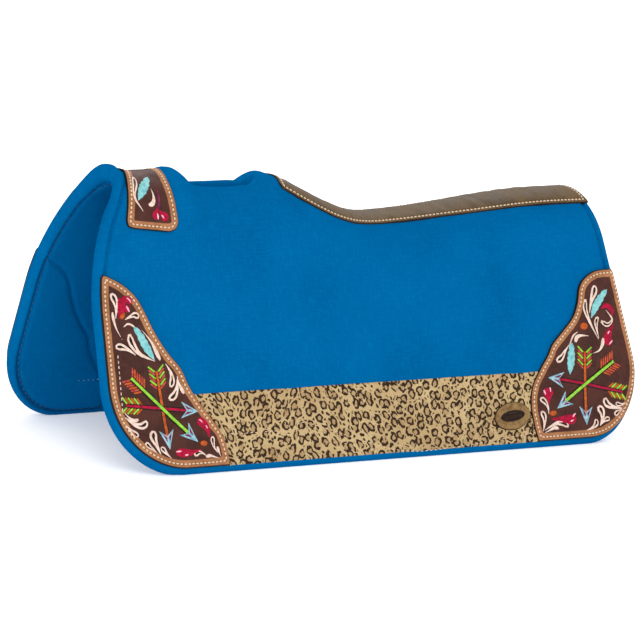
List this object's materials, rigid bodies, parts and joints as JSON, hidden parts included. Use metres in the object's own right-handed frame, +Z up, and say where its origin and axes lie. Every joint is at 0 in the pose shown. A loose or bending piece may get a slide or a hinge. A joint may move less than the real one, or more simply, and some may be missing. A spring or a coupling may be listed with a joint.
{
  "type": "western saddle pad",
  "caption": "Contoured felt saddle pad with folding flaps, oval wither relief opening, tooled leather corners, leopard-print hide strip and leather spine.",
  "frame": {"origin": "middle of the pad on the plane that its two flaps stand on", "axes": "+X from the withers (front) to the loin (rear), -Y the near (left) side, +Z up"},
  "size_m": [0.798, 0.338, 0.3527],
  "materials": {
    "felt": "blue wool felt",
    "lining": "blue wool felt, worn side",
    "core": "grey pressed felt",
    "tooled_leather": "dark brown tooled leather, tan border, painted",
    "plain_leather": "oiled brown leather, waxy",
    "hide": "short hair, leopard print",
    "badge_leather": "brown embossed leather",
    "badge_plate": "dark pressed centre",
    "cream_thread": "waxed thread",
    "blue_thread": "waxed thread"
  },
  "bodies": {
    "spine": {"felt_core_spine": "core", "felt_top_spine": "felt", "felt_lining_spine": "lining", "wither_patch": "tooled_leather", "spine_leather": "plain_leather", "edge_stitching_spine": "blue_thread", "wither_patch_stitching": "cream_thread", "spine_leather_stitching": "cream_thread"},
    "near_flap": {"felt_core_near": "core", "felt_top_near": "felt", "felt_lining_near": "lining", "hair_strip_near": "hide", "front_wear_leather_near": "tooled_leather", "rear_wear_leather_near": "tooled_leather", "badge_near": "badge_leather", "badge_emblem_near": "badge_plate", "front_wear_stitching_near": "cream_thread", "rear_wear_stitching_near": "cream_thread", "strip_stitching_near": "cream_thread", "edge_stitching_near": "blue_thread"},
    "off_flap": {"felt_core_off": "core", "felt_top_off": "felt", "felt_lining_off": "lining", "hair_strip_off": "hide", "front_wear_leather_off": "tooled_leather", "rear_wear_leather_off": "tooled_leather", "badge_off": "badge_leather", "badge_emblem_off": "badge_plate", "front_wear_stitching_off": "cream_thread", "rear_wear_stitching_off": "cream_thread", "strip_stitching_off": "cream_thread", "edge_stitching_off": "blue_thread"}
  },
  "joints": [
    {"name": "near_flap_fold", "type": "hinge", "parent": "spine", "child": "near_flap", "pos_m": [0, -0.057, 0.256], "axis": [-1, 0, 0], "range_deg": [-12, 30]},
    {"name": "off_flap_fold", "type": "hinge", "parent": "spine", "child": "off_flap", "pos_m": [0, 0.057, 0.256], "axis": [1, 0, 0], "range_deg": [-12, 30]}
  ]
}
